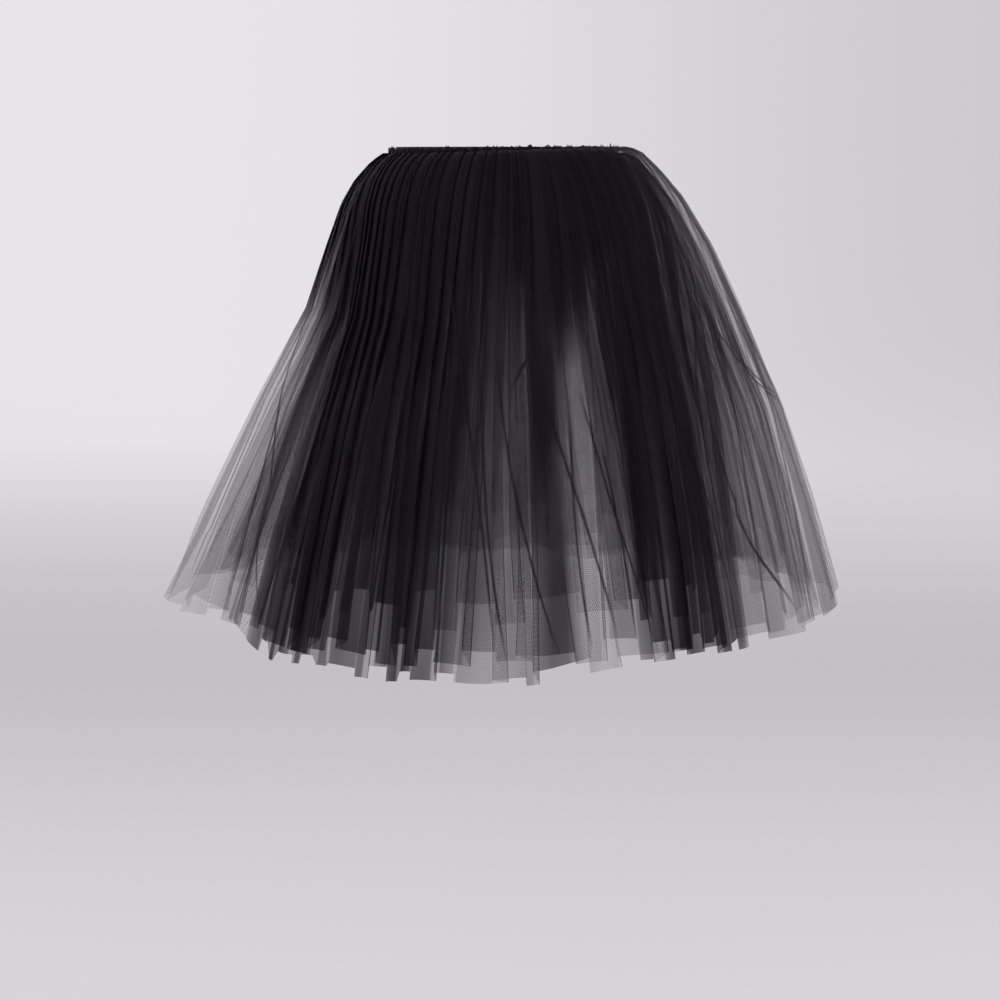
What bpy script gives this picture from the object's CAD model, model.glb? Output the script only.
"""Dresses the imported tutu: pleated sheets of sheer tulle on a shirred elastic band.

Metres, +Z up, the wearer faces -Y. The origin is the middle of the waist, level with the seam.
A turn is an angle in degrees from the front, positive towards the wearer's left (+X). along is a
share of the way down the cloth, from 0 at the waist to 1 at the outer layer's hem.
"""

import math
from collections import namedtuple
from functools import cache
from itertools import accumulate

import bmesh
import bpy
from mathutils import Matrix, Vector, noise


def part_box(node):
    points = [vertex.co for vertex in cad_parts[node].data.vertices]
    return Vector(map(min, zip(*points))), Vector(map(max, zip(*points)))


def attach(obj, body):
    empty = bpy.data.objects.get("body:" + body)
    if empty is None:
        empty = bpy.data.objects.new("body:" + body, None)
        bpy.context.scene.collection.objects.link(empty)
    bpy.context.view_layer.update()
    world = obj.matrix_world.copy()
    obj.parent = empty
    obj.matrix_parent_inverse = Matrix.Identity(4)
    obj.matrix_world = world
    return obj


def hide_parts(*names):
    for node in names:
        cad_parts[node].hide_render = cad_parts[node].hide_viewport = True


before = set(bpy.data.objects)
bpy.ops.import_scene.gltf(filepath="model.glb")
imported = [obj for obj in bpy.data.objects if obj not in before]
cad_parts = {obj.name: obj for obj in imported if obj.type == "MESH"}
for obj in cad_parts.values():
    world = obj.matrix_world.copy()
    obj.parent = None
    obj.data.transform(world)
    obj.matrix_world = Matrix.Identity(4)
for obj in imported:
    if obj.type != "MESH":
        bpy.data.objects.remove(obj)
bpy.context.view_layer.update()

MM = 0.001
MERGE = 0.01 * MM  # corners as close as this become one

# The band, whose size is read from its node, and the shirring of its elastic
band_low, band_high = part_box("waistband")
BAND_HALF_WIDTH = band_high[0]
BAND_HALF_DEPTH = band_high[1]
BAND_HEIGHT = band_high[2] - band_low[2]
BAND_WALL = 2 * MM
BAND_ROWS = 6
RIBS = 150
RIB_STEPS = 6
RIB_DEPTH = 0.5 * MM

# The hip over which the skirt stands out more, and the outer layer's sections from waist to hem:
# how far each stands out from the band and hangs below the seam, on the full side and on the
# close side
FULL_SIDE_TURN = 125
Section = namedtuple("Section", "along full_out full_drop close_out close_drop")
SECTIONS = (
    Section(0.00, 0.0095, -0.001, 0.0095, 0.002),
    Section(0.02, 0.0190, -0.007, 0.0170, 0.002),
    Section(0.04, 0.0370, -0.001, 0.0320, 0.013),
    Section(0.09, 0.0600, 0.021, 0.0510, 0.034),
    Section(0.16, 0.0880, 0.054, 0.0670, 0.062),
    Section(0.27, 0.1210, 0.110, 0.0840, 0.110),
    Section(0.42, 0.1580, 0.190, 0.1100, 0.190),
    Section(0.60, 0.2050, 0.300, 0.1680, 0.300),
    Section(0.80, 0.2420, 0.426, 0.2280, 0.426),
    Section(1.00, 0.2730, 0.552, 0.2850, 0.552),
)
CLOTH_LENGTH = 0.64  # of the outer layer, waist to hem

# Layers from the outside in: the pleats of a panel, how far along its hem is, its share of the
# hem's rise, which way the pleats lie, 1 towards the wearer's left, and how unevenly they hang
Layer = namedtuple("Layer", "name pleats hem rise_share lean hang")
LAYERS = (
    Layer("outer", 31, 1.00, 1.0, 1, 8 * MM),
    Layer("middle", 29, 0.970, 0.3, -1, 12 * MM),
    Layer("inner", 26, 0.89, 0.3, 1, 22 * MM),
)
# Pleats leave the waist evenly. By the share named crowding, they go to where each has as much
# cloth as the next, and so lie close together where the hem is full.
Panel = namedtuple("Panel", "name start crowding")
PANELS = (Panel("front", -90, 0.75), Panel("back", 90, 0.40))
PANEL_SWEEP = 180
OUTER = 0  # the number of the layer that has the tucks

# The room from one layer to the next, and the power of the way down by which it grows
LAYER_STEP_WAIST = 4.9 * MM
LAYER_STEP_HEM = 25.0 * MM
LAYER_SPREAD = 0.5
WALL_MIDDLE = 0.9 * MM  # the sheet lies in the middle of the solid's wall
# How far a fold stands off the layer, and how much more the face between two folds bulges
PLEAT_STAND_WAIST = 1.3 * MM
PLEAT_STAND_HEM = 8.5 * MM
FACE_BULGE = 0.3
# Pleats are a little closer together here and there round a panel
Wave = namedtuple("Wave", "count reach")
PLEAT_WAVES = (Wave(2, 0.010), Wave(5, 0.006), Wave(9, 0.004), Wave(13, 0.003))

# How many plies of each layer lie over one another at the hem, and the least, in the hem's own
# width, that there are near the waist
Fullness = namedtuple("Fullness", "turn outer middle inner waist")
FULLNESS = (
    Fullness(-62, 1.0, 1.0, 1.0, 8.0),
    Fullness(-46, 1.1, 1.0, 1.0, 8.0),
    Fullness(-34, 1.0, 1.1, 1.0, 6.0),
    Fullness(-26, 2.0, 2.5, 2.5, 4.0),
    Fullness(-18, 3.5, 3.5, 3.0, 3.0),
    Fullness(-12, 5.0, 5.0, 5.0, 3.0),
    Fullness(-6, 9.5, 10.0, 5.5, 3.0),
    Fullness(0, 9.0, 9.5, 7.0, 3.0),
    Fullness(5, 6.0, 8.0, 8.0, 3.0),
    Fullness(9, 5.5, 6.5, 8.5, 3.0),
    Fullness(13, 8.0, 9.0, 7.0, 3.0),
    Fullness(18, 11.0, 10.0, 4.5, 3.0),
    Fullness(22, 9.0, 9.0, 3.0, 3.0),
    Fullness(26, 5.0, 4.5, 2.0, 3.0),
    Fullness(30, 3.0, 3.5, 2.5, 3.0),
    Fullness(35, 3.5, 2.5, 1.4, 4.0),
    Fullness(40, 3.5, 3.0, 1.5, 4.5),
    Fullness(43, 7.0, 5.5, 2.5, 4.5),
    Fullness(44.5, 9.0, 7.0, 3.5, 6.0),
    Fullness(46.5, 2.0, 2.0, 1.5, 8.0),
    Fullness(50, 1.1, 1.1, 1.0, 9.0),
    Fullness(53, 1.8, 1.8, 1.2, 9.0),
    Fullness(56, 2.2, 2.4, 1.6, 6.0),
    Fullness(60, 3.2, 3.8, 3.0, 5.0),
    Fullness(64, 8.0, 9.0, 7.5, 5.0),
    Fullness(70, 10.0, 11.0, 8.0, 4.0),
    Fullness(74, 7.0, 6.5, 4.0, 2.5),
    Fullness(77, 3.5, 3.5, 1.5, 1.0),
    Fullness(80, 2.4, 2.2, 1.0, 0.5),
    Fullness(88, 1.8, 1.6, 1.0, 0.5),
    Fullness(98, 1.7, 1.5, 1.0, 0.5),
    Fullness(106, 1.8, 1.5, 1.0, 0.5),
    Fullness(113, 1.5, 1.3, 1.0, 0.5),
    Fullness(125, 1.0, 1.0, 1.0, 0.5),
    Fullness(150, 1.0, 1.0, 1.0, 1.0),
    Fullness(165, 1.5, 1.4, 1.0, 2.0),
    Fullness(176, 1.2, 1.2, 1.0, 2.5),
    Fullness(196, 1.0, 1.0, 1.0, 2.5),
    Fullness(206, 1.3, 1.2, 1.0, 2.5),
    Fullness(222, 1.5, 1.3, 1.0, 2.5),
    Fullness(245, 1.4, 1.2, 1.0, 2.0),
    Fullness(258, 1.2, 1.1, 1.0, 2.0),
    Fullness(268, 1.4, 1.2, 1.0, 2.0),
)
# Pleats take turns, each list in strides of its own, so that no two keep time: how wide their
# overlaps are, how far they stand off the layer at the hem, how dark their folds' edges are, and
# how much lower their folds hang than the hem, as a share of the layer's hang
Turns = namedtuple("Turns", "stride values")
WIDTHS = Turns(1, (1.0, 0.06, 0.4, 0.05, 0.12, 0.75, 0.05, 0.25, 0.05, 0.55, 0.1))
STANDS = Turns(3, (1.0, 0.45, 0.8, 0.35, 0.9, 0.6, 0.7))
EDGES = Turns(5, (1.0, 0.3, 0.6, 0.4, 1.0, 0.2, 0.5, 0.8))
HANGS = Turns(3, (0.9, -0.5, 0.3, -1.0, 0.6, -0.2, 1.0, -0.7))
# An overlap has three plies: the face, the ply turned back and the next pleat's face
LAP_PLIES = 3
LEAST_OVERLAP = 0.3 * MM
# The widest overlap, as a share of a pleat's room. Past it the plies lie flat on each other and
# are made as one that is denser.
MOST_OVERLAP_WAIST = 0.50
MOST_OVERLAP_HEM = 0.45
SHARP_OVERLAP = 0.10  # of a pleat's room, from which its fold is sharp
EVEN_START = 0.15  # the way down at which the overlaps, even near the waist, begin to differ
EVEN_REACH = 0.6  # and by which they do
# How much denser an overlap looks than the cloth beside it, in thin cloth and in a cluster, where
# so many further plies lie flat on each one that is made
THIN_CONTRAST = 0.4
CLUSTER_CONTRAST = 0.2
CLUSTER_PLIES = 1.5
# How far a fold strays at the hem, as a share of the room between pleats
WANDER = 0.7
WANDER_PER_PLEAT = 3.1  # steps through the noise: from one pleat to the next
WANDER_PER_LENGTH = 1.3  # and from the waist to the hem

# The slanting line on which each gather runs: the turn at which it leaves the waist, and where it
# would be at the hem
Line = namedtuple("Line", "waist hem")
LINES = (
    Line(-90, -84),
    Line(-62, -46),
    Line(-45, -22),
    Line(-33, -5),
    Line(-25, 0),
    Line(-10, 5),
    Line(3, 10),
    Line(13, 17),
    Line(22, 24),
    Line(28, 28),
    Line(36, 39),
    Line(41, 43),
    Line(46, 47),
    Line(49, 54),
    Line(60, 59),
    Line(70, 63),
    Line(85, 69),
    Line(98, 76),
    Line(112, 95),
    Line(135, 128),
    Line(160, 158),
    Line(184, 180),
    Line(200, 205),
    Line(228, 231),
    Line(252, 250),
)
# The smaller it is, the nearer the waist a gather comes to its place at the hem
WAIST_TO_HEM = 0.32

# Large folds: their depth at the hem, outwards, and the power of the way down by which it grows
Fold = namedtuple("Fold", "turn half_width depth")
FOLDS = (
    Fold(-52, 15, 0.012),
    Fold(-26, 14, -0.022),
    Fold(3, 7, 0.014),
    Fold(13, 6, -0.014),
    Fold(23, 6, 0.012),
    Fold(31, 5, -0.010),
    Fold(37, 5, 0.015),
    Fold(43, 5, -0.013),
    Fold(52, 8, 0.010),
    Fold(62, 6, -0.015),
    Fold(70, 7, 0.013),
    Fold(80, 7, -0.016),
    Fold(89, 7, 0.012),
    Fold(99, 8, -0.013),
    Fold(122, 14, 0.012),
    Fold(144, 8, -0.016),
    Fold(158, 9, 0.014),
    Fold(171, 7, -0.013),
    Fold(184, 8, 0.016),
    Fold(197, 7, -0.014),
    Fold(209, 8, 0.012),
    Fold(223, 9, -0.018),
    Fold(238, 8, 0.013),
    Fold(251, 7, -0.014),
    Fold(263, 7, 0.012),
    Fold(279, 9, -0.015),
)
FOLD_GROWTH = 1.3

# How much higher the hem is from turn to turn, which starts at a share of the way down
Rise = namedtuple("Rise", "turn height")
RISES = (
    Rise(-55, 0.000),
    Rise(-22, 0.030),
    Rise(-3, -0.004),
    Rise(35, -0.010),
    Rise(55, 0.011),
    Rise(80, 0.018),
    Rise(125, 0.012),
    Rise(165, 0.012),
    Rise(205, -0.004),
    Rise(255, 0.010),
)
RISE_START = 0.5

# The mesh: columns across the bare middle of a pleat's face, and rows down the cloth
FACE_STEPS = 3
EDGE = 1.4 * MM  # the width of the dark line on a fold
WIDEST_EDGE = 0.1  # as a share of the face
CLOTH_ROWS = 40
ROW_SPREAD = 1.35  # rows crowd towards the waist by this power
# The cloth's ragged heads, which stand above the seam
HEAD = 9 * MM
HEAD_ROWS = 2
HEAD_RAGGED = 0.6
HEAD_WIDTH = 9 * MM

# Tucks: narrow folds that cross the outer layer's gathers, from one place to another. Each bows by
# so many degrees on its way.
Tuck = namedtuple("Tuck", "turn along end_turn end_along bow")
TUCKS = (
    Tuck(90, 0.42, 111, 0.60, -1.5),
    Tuck(91, 0.44, 113, 0.625, -2.0),
    Tuck(80, 0.52, 88, 0.99, -3.0),
    Tuck(87, 0.34, 77.5, 0.98, -6.0),
    Tuck(98, 0.43, 97, 0.98, 2.0),
    Tuck(104, 0.30, 112, 0.97, 2.0),
    Tuck(110, 0.58, 107, 0.98, 0.5),
    Tuck(62, 0.30, 74, 0.96, 2.5),
    Tuck(60, 0.33, 62, 0.98, -1.0),
    Tuck(51, 0.52, 60, 0.99, -0.5),
    Tuck(54, 0.60, 56, 0.98, 0.5),
    Tuck(49, 0.55, 49, 0.99, -1.0),
    Tuck(43, 0.50, 53, 0.97, 1.0),
    Tuck(30, 0.48, 36, 0.99, -1.0),
    Tuck(17, 0.27, 34, 0.98, 3.0),
    Tuck(33, 0.43, 45, 0.99, -1.5),
    Tuck(21, 0.40, 24, 0.99, 1.0),
    Tuck(-50, 0.36, -8, 0.99, -1.0),
    Tuck(-45, 0.58, -41, 0.95, 0.5),
    Tuck(-36, 0.56, -24, 0.99, 1.0),
    Tuck(148, 0.35, 131, 0.62, 1.5),
    Tuck(172, 0.30, 178, 0.97, -2.0),
    Tuck(196, 0.42, 214, 0.66, 1.5),
    Tuck(238, 0.34, 233, 0.95, 2.0),
    Tuck(258, 0.40, 246, 0.72, -1.5),
)
TUCK_WIDTH = 5.0 * MM
TUCK_STAND = 0.08  # off the ply that it crosses, as a share of a pleat's stand
TUCK_COVER = 0.97
TUCK_EDGE_COVER = 0.02
TUCK_STEPS = 28
TUCK_REACH = 3  # steps before and after, on whose highest ply the tuck lies

# Small creases that run down the cloth, with finer ones on them, other ones on each layer
CREASE_WIDTH = 14 * MM
CREASE_LENGTH = 260 * MM
CREASE_WAIST = 0.03 * MM
CREASE_HEM = 0.9 * MM
FINER_CREASES = 2.1
LAYER_SHIFT = 10

# Thicker and thinner streaks down the cloth
STREAK = 0.25
STREAK_WIDTH = 24 * MM
STREAK_LENGTH = 220 * MM

# The net, and the shares of the light: what one ply stops, what a fold's edge stops besides, on a
# ply that stops none, and the most that anything stops
NET_PITCH = 2.2 * MM
NET_COVER = 0.19
FOLD_COVER = 0.85
MOST_COVER = 0.97

# Colours are red, green and blue
TULLE_BLACK = (0.007, 0.005, 0.008)
TULLE_ROUGHNESS = 0.6
TULLE_GLOSS = 0.06
ELASTIC_BLACK = (0.008, 0.008, 0.009)
ELASTIC_ROUGHNESS = 0.7


def mix(a, b, share):
    return a + (b - a) * share


def eased(share):
    return share * share * (3 - 2 * share)


def in_turn(turns, number):
    return turns.values[number * turns.stride % len(turns.values)]


def degrees_between(a, b):
    return (a - b + 180) % 360 - 180


def on_turn(turn, radius, height):
    angle = math.radians(turn)
    return Vector((radius * math.sin(angle), -radius * math.cos(angle), height))


def band_radius(turn):
    angle = math.radians(turn)
    return 1 / math.hypot(math.sin(angle) / BAND_HALF_WIDTH, math.cos(angle) / BAND_HALF_DEPTH)


def section_at(along):
    """The section at a share of the length, on the straight line between its two neighbours."""
    below = next(i for i, s in enumerate(SECTIONS) if s.along >= along)
    upper, lower = SECTIONS[max(below - 1, 0)], SECTIONS[below]
    span = lower.along - upper.along
    share = (along - upper.along) / span if span else 0
    return Section(*(mix(a, b, share) for a, b in zip(upper, lower)))


def profile(turn, along):
    """The outer layer's radius and height, before its folds."""
    section = section_at(along)
    fullness = (1 + math.cos(math.radians(turn - FULL_SIDE_TURN))) / 2
    out = mix(section.close_out, section.full_out, fullness)
    drop = mix(section.close_drop, section.full_drop, fullness)
    return Vector((band_radius(turn) + out, -drop))


def profile_normal(turn, along):
    """Square to the profile, outwards and up, and at the seam slanting by 45 degrees."""
    reach = 0.03
    down = profile(turn, min(along + reach, 1)) - profile(turn, max(along - reach, 0))
    square = Vector((-down.y, down.x)).normalized()
    slant = Vector((1, 1)).normalized()
    return slant.lerp(square, min(along / SECTIONS[1].along, 1)).normalized()


def rows_around(rows, turn):
    """The rows of a table on both sides of a turn, and its share of the way between them."""
    start = rows[0][0]
    place = (turn - start) % 360 + start
    here = max(i for i, row in enumerate(rows) if row[0] <= place)
    after = (here + 1) % len(rows)
    span = (rows[after][0] - rows[here][0]) % 360
    return rows[here], rows[after], (place - rows[here][0]) / span


def hem_rise(turn):
    here, after, share = rows_around(RISES, turn)
    return mix(here.height, after.height, eased(share))


def large_folds(turn, along):
    depth = 0
    for fold in FOLDS:
        near = 1 - abs(degrees_between(turn, fold.turn)) / fold.half_width
        if near > 0:
            depth += fold.depth * eased(near)
    return depth * along**FOLD_GROWTH


def drifted(turn):
    """Where the line that leaves the waist at a turn comes to at the hem."""
    here, after, share = rows_around(LINES, turn)
    return turn + mix(here.hem - here.waist, after.hem - after.waist, share)


def plies_at(name, turn):
    """How many plies FULLNESS has in one of its columns."""
    here, after, share = rows_around(FULLNESS, turn)
    return mix(getattr(here, name), getattr(after, name), share)


def small_crease(layer_number, across, down):
    """Between -1 and 1, drawn out down the cloth."""
    place = Vector((across / CREASE_WIDTH, down / CREASE_LENGTH, LAYER_SHIFT * layer_number))
    return noise.noise(place) + 0.5 * noise.noise(place * FINER_CREASES)


# Pleats


# A pleat, or one of the seams at both ends: its number, and its turn at the waist and at the hem
Pleat = namedtuple("Pleat", "number waist hem")
# A fold's line where it crosses one row: its turn, how far it stands off the layer, how sharp it
# is, and how far it hangs below the hem
Crossing = namedtuple("Crossing", "turn stand sharp hang")
# A place on a row between two folds, with the cloth used so far
Place = namedtuple("Place", "turn stand used cover hang")


def metres_per_degree(turn, along):
    return math.radians(profile(turn, along).x)


def plan_pleats(layer, panel):
    """The pleats of a panel, from seam to seam."""
    start, end = drifted(panel.start), drifted(panel.start + PANEL_SWEEP)
    steps = [mix(start, end, n / PANEL_SWEEP) for n in range(PANEL_SWEEP + 1)]
    cloth = list(accumulate((plies_at(layer.name, turn) for turn in steps[1:]), initial=0))
    shares = [0, *((k + 0.5) / layer.pleats for k in range(layer.pleats)), 1]
    pleats = []
    for k, share in enumerate(shares):
        share += sum(w.reach * math.sin(2 * math.pi * w.count * share) for w in PLEAT_WAVES)
        waist = panel.start + PANEL_SWEEP * share
        wanted = min(max(share, 0), 1) * cloth[-1]
        n = max(i for i, used in enumerate(cloth[:-1]) if used <= wanted)
        crowded = mix(steps[n], steps[n + 1], (wanted - cloth[n]) / (cloth[n + 1] - cloth[n]))
        pleats.append(Pleat(k, waist, mix(drifted(waist), crowded, panel.crowding)))
    return pleats


class Row:
    """One row of a panel's pleats: where they have come to, and how full the cloth is there."""

    def __init__(self, layer, pleats, along):
        self.layer = layer
        self.pleats = pleats
        self.along = along
        way = along / mix(WAIST_TO_HEM, 1, along)
        self.turns = [mix(pleat.waist, pleat.hem, way) + self.stray(pleat) for pleat in pleats]
        self.gathers = []
        self.rooms = []
        self.overlaps = []
        last = len(pleats) - 1
        for k, pleat in enumerate(pleats):
            before, after = max(k - 1, 0), min(k + 1, last)
            room = (self.turns[after] - self.turns[before]) / 2
            room *= metres_per_degree(self.turns[k], along)
            at_hem = (pleats[after].hem - pleats[before].hem) / 2 * metres_per_degree(pleat.hem, 1)
            self.rooms.append(room)
            self.gathers.append(at_hem / room)
            uneven = self.unevenness()
            width = mix(1, in_turn(WIDTHS, pleat.number), uneven)
            widest = mix(MOST_OVERLAP_WAIST, MOST_OVERLAP_HEM, uneven) * width * room
            spare = (self.plies(pleat.hem, self.gathers[-1]) - 1) / 2 * room
            self.overlaps.append(0 if k in (0, last) else max(min(spare, widest), LEAST_OVERLAP))

    def plies(self, hem, gathered):
        """How many plies there are on the line that reaches a turn at the hem."""
        least = plies_at("waist", hem) * metres_per_degree(hem, 1)
        least /= metres_per_degree(hem, self.along)
        least *= 1 - self.unevenness()
        return max(plies_at(self.layer.name, hem) * gathered, least)

    def unevenness(self):
        share = (self.along - EVEN_START) / (EVEN_REACH - EVEN_START)
        return eased(min(max(share, 0), 1))

    def stray(self, pleat):
        """How far a fold strays from its line, in degrees."""
        if pleat.number in (0, self.pleats[-1].number):
            return 0
        before, after = (self.pleats[pleat.number + n].hem for n in (-1, 1))
        steps = WANDER_PER_PLEAT * pleat.number, WANDER_PER_LENGTH * self.along
        place = Vector((*steps, self.layer.pleats))
        return WANDER * (after - before) / 2 * self.along * noise.noise(place)

    def crossings(self):
        """The folds from seam to seam: each pleat's outer fold and then its inner one."""
        for k, pleat in enumerate(self.pleats):
            half = self.overlaps[k] / 2 / metres_per_degree(self.turns[k], self.along)
            sharp = min(self.overlaps[k] / self.rooms[k] / SHARP_OVERLAP, 1)
            stand = mix(1, in_turn(STANDS, pleat.number), self.along)
            stand *= sharp * self.layer.lean
            edge = sharp * in_turn(EDGES, pleat.number)
            before, after = (self.layer.hang * in_turn(HANGS, k + n) for n in (0, 1))
            yield Crossing(self.turns[k] + half, stand, edge, before if k else 0)
            if half:
                yield Crossing(self.turns[k] - half, -stand, edge, after)

    def cover_at(self, turn, made):
        """The share of light that a ply stops where so many are made: more where others lie flat
        on it."""
        k = max([k for k, other in enumerate(self.turns[:-1]) if other <= turn], default=0)
        share = (turn - self.turns[k]) / (self.turns[k + 1] - self.turns[k])
        hem = mix(self.pleats[k].hem, self.pleats[k + 1].hem, share)
        plies = self.plies(hem, mix(self.gathers[k], self.gathers[k + 1], share))
        laps = [self.overlaps[n] / self.rooms[n] for n in (k, k + 1)]
        mean = 1 + (LAP_PLIES - 1) * mix(*laps, share)
        hidden = max(plies / mean, 1)
        clustered = min((hidden - 1) / CLUSTER_PLIES, 1)
        contrast = mix(THIN_CONTRAST, CLUSTER_CONTRAST, clustered)
        return 1 - (1 - NET_COVER) ** (hidden * mean * mix(1, made / mean, contrast) / made)

    def places(self):
        """A face up to each pleat's outer fold, and its ply turned back."""
        folds = list(self.crossings())
        places = []
        used = 0
        for number, (here, after) in enumerate(zip(folds, folds[1:])):
            is_face = number % 2 == 0
            length = abs(after.turn - here.turn) * metres_per_degree(here.turn, self.along)
            laps = (self.overlaps[number // 2], self.overlaps[number // 2 + 1]) if is_face else ()
            for share in steps_between(laps, length):
                bulge = FACE_BULGE * math.sin(math.pi * share) if is_face else 0
                turn = mix(here.turn, after.turn, share)
                stand = mix(here.stand, after.stand, share) + bulge
                lone = is_face and laps[0] < share * length < length - laps[1]
                cover = self.cover_at(turn, 1 if lone else LAP_PLIES)
                cover = cover if share else mix(cover, 1, FOLD_COVER * (1 - cover) * here.sharp)
                hang = mix(here.hang, after.hang, share)
                places.append(Place(turn, stand, used + share * length, cover, hang))
            used += length
        end = folds[-1]
        return [*places, Place(end.turn, end.stand, used, NET_COVER, end.hang)]


def steps_between(laps, length):
    """Shares of the way from one fold to the next: the fold, and columns clear of both edges. On a
    face there are columns on both sides of where its laps end."""
    edge = min(EDGE / length, WIDEST_EDGE) if length else WIDEST_EDGE
    if not laps:
        return [0, edge, 0.5, 1 - edge]
    near, far = (min(max(lap / length, 2 * edge), 0.5 - edge) for lap in laps)
    middle = [mix(near + edge, 1 - far - edge, k / FACE_STEPS) for k in range(FACE_STEPS + 1)]
    return [0, edge, near - edge / 2, *middle, 1 - far + edge / 2, 1 - edge]


@cache
def laid_row(layer, panel, along):
    """The places on one row of a panel."""
    return Row(layer, plan_pleats(layer, panel), along).places()


def cloth_point(layer_number, along, place, across):
    """A point of a layer's sheet, across metres from the middle of its cut."""
    layer = LAYERS[layer_number]
    ragged = noise.noise(Vector((across / HEAD_WIDTH, layer_number, 0)))
    head = max(-along, 0) * CLOTH_LENGTH * (1 - HEAD_RAGGED * (0.5 + ragged))
    along = max(along, 0)
    inset = layer_number * mix(LAYER_STEP_WAIST, LAYER_STEP_HEM, along**LAYER_SPREAD)
    crease = small_crease(layer_number, across, along * CLOTH_LENGTH)
    move = place.stand * mix(PLEAT_STAND_WAIST, PLEAT_STAND_HEM, along) - inset - WALL_MIDDLE
    move += large_folds(place.turn, along) + crease * mix(CREASE_WAIST, CREASE_HEM, along**2)
    lift = eased(max(0, along / layer.hem - RISE_START) / (1 - RISE_START))
    outwards = profile_normal(place.turn, along)
    down_the_cloth = Vector((outwards.y, -outwards.x))
    radius, height = (
        profile(place.turn, along) + outwards * move + down_the_cloth * place.hang * lift
    )
    height += hem_rise(place.turn) * layer.rise_share * lift
    return on_turn(place.turn, radius, height + head)


def lay_panel(layer_number, panel, finish):
    """Half of one layer: a grid of tulle with a column on each fold, pleated into its place."""
    layer = LAYERS[layer_number]
    alongs = [layer.hem * (r / CLOTH_ROWS) ** ROW_SPREAD for r in range(CLOTH_ROWS + 1)]
    alongs = [-HEAD / CLOTH_LENGTH * (1 - r / HEAD_ROWS) for r in range(HEAD_ROWS)] + alongs
    rows = [laid_row(layer, panel, along) for along in alongs]
    cut_width = rows[-1][-1].used
    columns = len(rows[0]) - 1
    sheet = bmesh.new()
    cut = sheet.loops.layers.uv.new("cut")
    cover = sheet.verts.layers.float.new("cover")
    bmesh.ops.create_grid(sheet, x_segments=columns, y_segments=len(rows) - 1, size=0.5)
    flat = {}
    for corner in sheet.verts:
        column = round((corner.co.x + 0.5) * columns)
        row = round((0.5 - corner.co.y) * (len(rows) - 1))
        place, along = rows[row][column], alongs[row]
        across = (place.used / rows[row][-1].used - 0.5) * cut_width
        down = along * CLOTH_LENGTH
        flat[corner] = Vector((across, -down))
        corner.co = cloth_point(layer_number, along, place, across)
        streak = noise.noise(Vector((across / STREAK_WIDTH, down / STREAK_LENGTH, layer_number)))
        corner[cover] = min(place.cover * (1 + STREAK * streak), MOST_COVER)
    for face in sheet.faces:
        for loop in face.loops:
            loop[cut].uv = flat[loop.vert]
    for tuck in TUCKS if layer_number == OUTER else ():
        if panel.start <= tuck.turn < panel.start + PANEL_SWEEP:
            add_tuck(sheet, cover, layer, tuck)
    piece = add_piece(f"{layer.name}_tulle_{panel.name}", sheet, finish)
    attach(piece, "root")
    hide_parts(f"tulle_{layer.name}_{panel.name}")
    CLOTH_LENGTH * layer.hem + HEAD


def tuck_line(layer, tuck):
    """The tuck's places, each with its share of the way down the cloth. It rides over the pleats'
    valleys."""
    line = []
    for step in range(TUCK_STEPS + 1):
        share = step / TUCK_STEPS
        along = mix(tuck.along, tuck.end_along, share)
        turn = mix(tuck.turn, tuck.end_turn, share) + tuck.bow * math.sin(math.pi * share)
        rows = [laid_row(layer, panel, round(along, 2)) for panel in PANELS]
        plies = [
            mix(a.stand, b.stand, (turn - a.turn) / (b.turn - a.turn))
            for row in rows
            for a, b in zip(row, row[1:])
            if a.turn <= turn < b.turn
        ]
        line.append((along, Place(turn, max(plies) + TUCK_STAND, 0, 0, 0)))
    for step, (along, place) in enumerate(line):
        near = line[max(step - TUCK_REACH, 0) : step + TUCK_REACH + 1]
        yield along, place._replace(stand=max(other.stand for _, other in near))


def add_tuck(sheet, cover, layer, tuck):
    """A narrow dark strip on the outermost ply, thinning out at both ends."""
    line = list(tuck_line(layer, tuck))
    strip = bmesh.ops.create_grid(sheet, x_segments=2, y_segments=TUCK_STEPS, size=0.5)["verts"]
    for corner in strip:
        step = round((corner.co.y + 0.5) * TUCK_STEPS)
        side = round(corner.co.x * 2)
        along, place = line[step]
        before, after = line[max(step - 1, 0)], line[min(step + 1, TUCK_STEPS)]
        way = Vector((
            (after[1].turn - before[1].turn) * metres_per_degree(place.turn, along),
            (after[0] - before[0]) * CLOTH_LENGTH,
        )).normalized()
        half = side * TUCK_WIDTH / 2
        turn = place.turn + half * way.y / metres_per_degree(place.turn, along)
        beside = max(min(along - half * way.x / CLOTH_LENGTH, 1), 0)
        corner.co = cloth_point(OUTER, beside, place._replace(turn=turn), 0)
        taper = math.sin(math.pi * step / TUCK_STEPS)
        corner[cover] = TUCK_EDGE_COVER if side else TUCK_COVER * min(2 * taper, 1)


def add_piece(name, shape, finish):
    """Makes a bmesh an object with smooth faces."""
    mesh = bpy.data.meshes.new(name)
    shape.to_mesh(mesh)
    shape.free()
    mesh.shade_smooth()
    mesh.materials.append(finish.material)
    piece = bpy.data.objects.new(name, mesh)
    bpy.context.scene.collection.objects.link(piece)
    return piece


# Finishes


class Wire:
    """A node's output that takes part in sums, as in 1 - wire * 0.5."""

    def __init__(self, finish, socket):
        self.finish = finish
        self.socket = socket

    def maths(self, operation, first, second):
        return self.finish.node("ShaderNodeMath", {"operation": operation}, {0: first, 1: second})

    def __add__(self, other):
        return self.maths("ADD", self, other)

    def __radd__(self, other):
        return self.maths("ADD", other, self)

    def __sub__(self, other):
        return self.maths("SUBTRACT", self, other)

    def __rsub__(self, other):
        return self.maths("SUBTRACT", other, self)

    def __mul__(self, other):
        return self.maths("MULTIPLY", self, other)

    def __rmul__(self, other):
        return self.maths("MULTIPLY", other, self)


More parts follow.
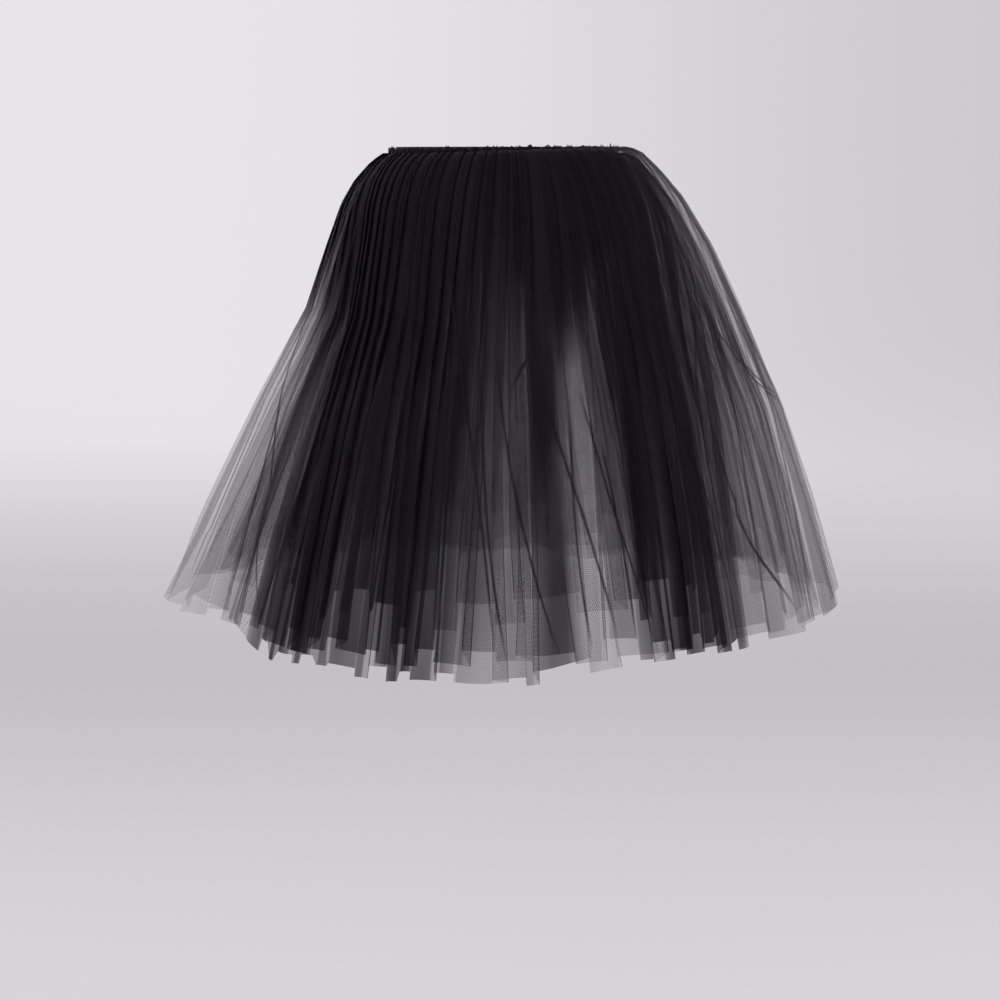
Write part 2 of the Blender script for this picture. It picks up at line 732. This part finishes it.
class Finish:
    """A material on one Principled shader, built by calls that add nodes."""

    def __init__(self, name, color, roughness, gloss=0.5):
        self.material = bpy.data.materials.new(name)
        self.material.use_nodes = True
        self.tree = self.material.node_tree
        self.shader = self.tree.nodes["Principled BSDF"]
        self.shader.inputs["Base Color"].default_value = (*color, 1)
        self.shader.inputs["Roughness"].default_value = roughness
        self.shader.inputs["Specular IOR Level"].default_value = gloss

    def node(self, kind, settings=None, values=None, output=0):
        """Adds a node: its settings first, then the values or wires of its sockets."""
        made = self.tree.nodes.new(kind)
        for setting, value in (settings or {}).items():
            setattr(made, setting, value)
        for socket, value in (values or {}).items():
            self.feed(made.inputs[socket], value)
        return Wire(self, made.outputs[output])

    def dot(self, vector, direction):
        return self.node(
            "ShaderNodeVectorMath", {"operation": "DOT_PRODUCT"}, {0: vector, 1: direction}, 1
        )

    def feed(self, socket, value):
        if isinstance(value, Wire):
            self.tree.links.new(value.socket, socket)
        else:
            socket.default_value = value

    def paint(self, socket, value):
        self.feed(self.shader.inputs[socket], value)

    def ramp(self, value, low, high, to_low=0.0, to_high=1.0):
        """value from low to high, turned smoothly into to_low to to_high."""
        return self.node(
            "ShaderNodeMapRange",
            {"interpolation_type": "SMOOTHSTEP"},
            {0: value, 1: low, 2: high, 3: to_low, 4: to_high},
        )


def tulle_finish(name):
    """Sheer net: hexagonal meshes on the cut's own axes, as dense as the attribute says."""
    finish = Finish(name, TULLE_BLACK, TULLE_ROUGHNESS, TULLE_GLOSS)
    cut = finish.node("ShaderNodeUVMap", {"uv_map": "cut"})
    across = finish.node("ShaderNodeSeparateXYZ", None, {0: cut})
    down = Wire(finish, across.socket.node.outputs[1])
    waves = 2 * math.pi / NET_PITCH
    slant = math.sin(math.radians(60))
    net = 0
    for direction in (down, across * slant + down * 0.5, across * slant - down * 0.5):
        net = finish.node("ShaderNodeMath", {"operation": "COSINE"}, {0: direction * waves}) + net
    hole, middle_of_thread = -0.75, -1.25  # of the sum of the three waves
    thread = finish.ramp(net, hole, middle_of_thread)
    cover = finish.node("ShaderNodeAttribute", {"attribute_name": "cover"}, output=2)
    # The mean of thread over the net is 0.25, so that of thread * 2 + 0.5 is 1. One ply's net
    # shows, and the others make the rest of the cover.
    let_through = 1 - NET_COVER * (thread * 2 + 0.5)
    finish.paint("Alpha", 1 - (1 - cover) * (1 / (1 - NET_COVER)) * let_through)
    return finish


def build_band(finish):
    """The elastic: a grid bent into an oval ring, shirred into fine upright ribs."""
    ring = bmesh.new()
    bmesh.ops.create_grid(ring, x_segments=RIBS * RIB_STEPS, y_segments=BAND_ROWS, size=0.5)
    for corner in ring.verts:
        angle = math.radians(360 * corner.co.x)
        down = 0.5 - corner.co.y
        rib = 0.5 + 0.5 * math.cos(RIBS * angle)
        inset = RIB_DEPTH * (rib * (0.5 + 0.5 * math.sin(math.pi * down)))
        corner.co = (
            (BAND_HALF_WIDTH - inset) * math.cos(angle),
            (BAND_HALF_DEPTH - inset) * math.sin(angle),
            band_high[2] - down * BAND_HEIGHT,
        )
    bmesh.ops.remove_doubles(ring, verts=ring.verts, dist=MERGE)
    bmesh.ops.recalc_face_normals(ring, faces=ring.faces)
    piece = add_piece("elastic_band", ring, finish)
    wall = piece.modifiers.new("wall", "SOLIDIFY")
    wall.thickness = BAND_WALL
    wall.offset = -1
    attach(piece, "root")
    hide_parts("waistband")


# The stage: a pale floor that curves up into a backdrop all round, soft lamps and the camera

FLOOR_DROP = 0.97  # below the seam
STAGE_RADIUS = 6.5
STAGE_CURVE = 1.5
STAGE_HEIGHT = 5.0
CURVE_STEPS = 12
ROUND_STEPS = 96
PAPER = (0.06, 0.06, 0.06)
PAPER_ROUGHNESS = 0.9
PAPER_GLOW = (1.0, 0.975, 1.02)
# How strongly the paper glows: a part of it changes between two places, in metres from the middle
Glow = namedtuple("Glow", "near far at_near at_far")
GLOW_FLOOR = Glow(-0.4, 1.5, 0.64, 0.50)
GLOW_BACKDROP = Glow(1.4, 5.4, 0.0, 0.26)
SHADE_BACKDROP = Glow(2.5, 6.0, 0.0, 1.0)
SHADE_RIGHT = Glow(-1.2, 2.2, 0.0, 0.20)

CAMERA_TURN = 35
CAMERA_DISTANCE = 2.776
CAMERA_PITCH = 8.7
CAMERA_LENS = 81.9
CAMERA_SIDE = -0.0024
SENSOR = 36
SIGHT = 50  # how far the camera sees


def stage_finish():
    """Paper that glows: paler towards the back, and less so on the right of it."""
    finish = Finish("stage_paper", PAPER, PAPER_ROUGHNESS, gloss=0)
    spot = finish.node("ShaderNodeTexCoord", output=3)
    back = finish.dot(spot, on_turn(CAMERA_TURN, -1, 0))
    right = finish.dot(spot, on_turn(CAMERA_TURN + 90, 1, 0))
    floor = finish.ramp(back, *GLOW_FLOOR)
    backdrop = finish.ramp(back, *GLOW_BACKDROP)
    shade = finish.ramp(back, *SHADE_BACKDROP) * finish.ramp(right, *SHADE_RIGHT)
    strength = floor + backdrop - shade
    glow = finish.node(
        "ShaderNodeVectorMath", {"operation": "SCALE"}, {0: PAPER_GLOW, "Scale": strength}
    )
    finish.paint("Emission Color", glow)
    finish.paint("Emission Strength", 1.0)
    return finish


def build_stage():
    """A bowl: the floor, a quarter of a circle and the wall, spun round."""
    flat = STAGE_RADIUS - STAGE_CURVE
    outline = [(0.0, 0.0), (flat, 0.0)]
    for step in range(1, CURVE_STEPS + 1):
        angle = math.radians(90 * step / CURVE_STEPS)
        up = STAGE_CURVE * (1 - math.cos(angle))
        outline.append((flat + STAGE_CURVE * math.sin(angle), up))
    outline.append((STAGE_RADIUS, STAGE_HEIGHT))
    bowl = bmesh.new()
    corners = [bowl.verts.new((out, 0, up - FLOOR_DROP)) for out, up in outline]
    edges = [bowl.edges.new(pair) for pair in zip(corners, corners[1:])]
    bmesh.ops.spin(
        bowl,
        geom=corners + edges,
        cent=(0, 0, 0),
        axis=(0, 0, 1),
        angle=math.radians(360),
        steps=ROUND_STEPS,
        use_merge=True,
    )
    bmesh.ops.remove_doubles(bowl, verts=bowl.verts, dist=MERGE)
    bmesh.ops.recalc_face_normals(bowl, faces=bowl.faces)
    bmesh.ops.reverse_faces(bowl, faces=bowl.faces)
    add_piece("stage", bowl, stage_finish())


def add_camera():
    data = bpy.data.cameras.new("camera")
    data.lens = CAMERA_LENS
    data.sensor_width = SENSOR
    data.clip_end = SIGHT
    camera = bpy.data.objects.new("camera", data)
    spot = on_turn(CAMERA_TURN, CAMERA_DISTANCE, 0) + on_turn(CAMERA_TURN + 90, CAMERA_SIDE, 0)
    tilt = Matrix.Rotation(math.radians(90 - CAMERA_PITCH), 4, "X")
    camera.matrix_world = (
        Matrix.Translation(spot) @ Matrix.Rotation(math.radians(CAMERA_TURN), 4, "Z") @ tilt
    )
    bpy.context.scene.collection.objects.link(camera)
    bpy.context.scene.camera = camera


Lamp = namedtuple("Lamp", "name turn distance height size power")
LAMPS = (
    Lamp("key", -20, 3.4, 2.4, 2.6, 60),
    Lamp("fill", 85, 3.4, 1.6, 2.4, 25),
)
LAMPS_AIM = Vector((0, 0, -0.3))
SKY = (0.97, 0.98, 1.0)
SKY_STRENGTH = 0.5


def add_lamps():
    for lamp in LAMPS:
        data = bpy.data.lights.new(lamp.name, "AREA")
        data.size = lamp.size
        data.energy = lamp.power
        light = bpy.data.objects.new(lamp.name, data)
        spot = on_turn(lamp.turn, lamp.distance, lamp.height)
        towards = (LAMPS_AIM - spot).to_track_quat("-Z", "Y")
        light.matrix_world = Matrix.Translation(spot) @ towards.to_matrix().to_4x4()
        bpy.context.scene.collection.objects.link(light)
    world = bpy.data.worlds.new("studio")
    bpy.context.scene.world = world
    world.use_nodes = True
    sky = world.node_tree.nodes["Background"]
    sky.inputs["Color"].default_value = (*SKY, 1)
    sky.inputs["Strength"].default_value = SKY_STRENGTH


def set_light_paths():
    """Light passes through many plies, and what black cloth throws back hardly shows. Two lamps
    need no tree to choose from, which makes see-through cloth slow."""
    cycles = bpy.context.scene.cycles
    cycles.transparent_max_bounces = 24
    cycles.diffuse_bounces = 1
    cycles.glossy_bounces = 1
    cycles.use_light_tree = False


def main():
    for number, layer in enumerate(LAYERS):
        tulle = tulle_finish(f"tulle_{layer.name}")
        for panel in PANELS:
            lay_panel(number, panel, tulle)
    build_band(Finish("elastic", ELASTIC_BLACK, ELASTIC_ROUGHNESS))
    build_stage()
    add_lamps()
    add_camera()
    set_light_paths()
    bpy.context.scene.view_settings.view_transform = "Standard"


main()
